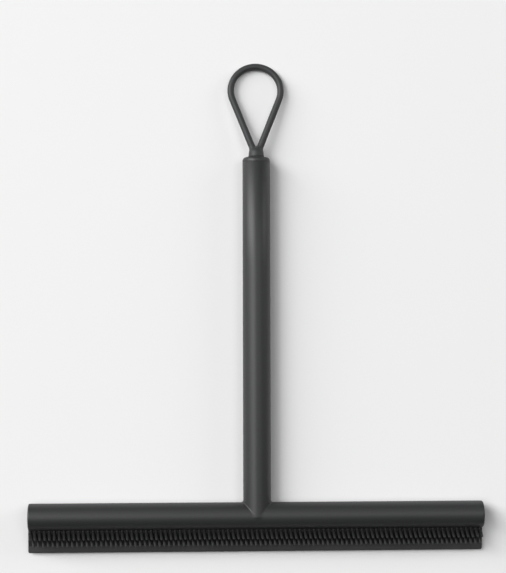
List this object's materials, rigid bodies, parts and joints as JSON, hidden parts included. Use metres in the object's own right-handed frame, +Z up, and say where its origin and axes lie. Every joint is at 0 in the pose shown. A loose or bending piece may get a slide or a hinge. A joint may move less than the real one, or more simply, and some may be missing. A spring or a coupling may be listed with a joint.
{
  "type": "window squeegee",
  "caption": "T-shaped hand squeegee for windows and tiles: round bar head with a rubber wiping lip and staggered scrubbing combs, tubular handle and a soft hanging loop.",
  "frame": {"origin": "under the middle of the outline, on the surface that the handle rests on", "axes": "+X along the wiping lip, +Y along the handle from the head to the hanging loop, +Z up from the surface, on the side that the scrubbing teeth point to"},
  "size_m": [0.2886, 0.3125, 0.0176],
  "materials": {
    "bar_shell": "fine satin, cool dark grey",
    "carrier": "plain, near black",
    "comb_rubber": "matt, near black",
    "lip_rubber": "smooth matt, dark grey",
    "inner_plastic": "plain moulded",
    "insert_brass": "turned",
    "screw_steel": "plain stainless",
    "seal_rubber": "smooth black",
    "loop_silicone": "matt silicone, dark grey"
  },
  "bodies": {
    "frame": {"head_tube": "bar_shell", "end_cap_left": "bar_shell", "end_cap_right": "bar_shell", "blade_carrier": "carrier", "handle_tube": "bar_shell", "handle_plug": "inner_plastic", "thread_insert": "insert_brass", "joint_screw": "screw_steel", "joint_washer": "screw_steel", "handle_cap": "bar_shell", "cap_seal_ring": "seal_rubber"},
    "loop": {"hanging_loop": "loop_silicone", "loop_retainer": "inner_plastic"},
    "combs": {"comb_front": "comb_rubber", "comb_rear": "comb_rubber"},
    "wiper": {"wiper_blade": "lip_rubber"}
  },
  "joints": [
    {"name": "loop_swivel", "type": "hinge", "parent": "frame", "child": "loop", "pos_m": [0, 0.09447, 0.0088], "axis": [0, 1, 0], "continuous": true},
    {"name": "comb_flex", "type": "hinge", "parent": "frame", "child": "combs", "pos_m": [0, -0.13783, 0.0082], "axis": [-1, 0, 0], "range_deg": [-8, 12], "stiffness_Nm_per_rad": 0.2},
    {"name": "wiper_flex", "type": "hinge", "parent": "frame", "child": "wiper", "pos_m": [0, -0.13703, 0.0047], "axis": [-1, 0, 0], "range_deg": [-25, 8], "stiffness_Nm_per_rad": 0.15}
  ]
}
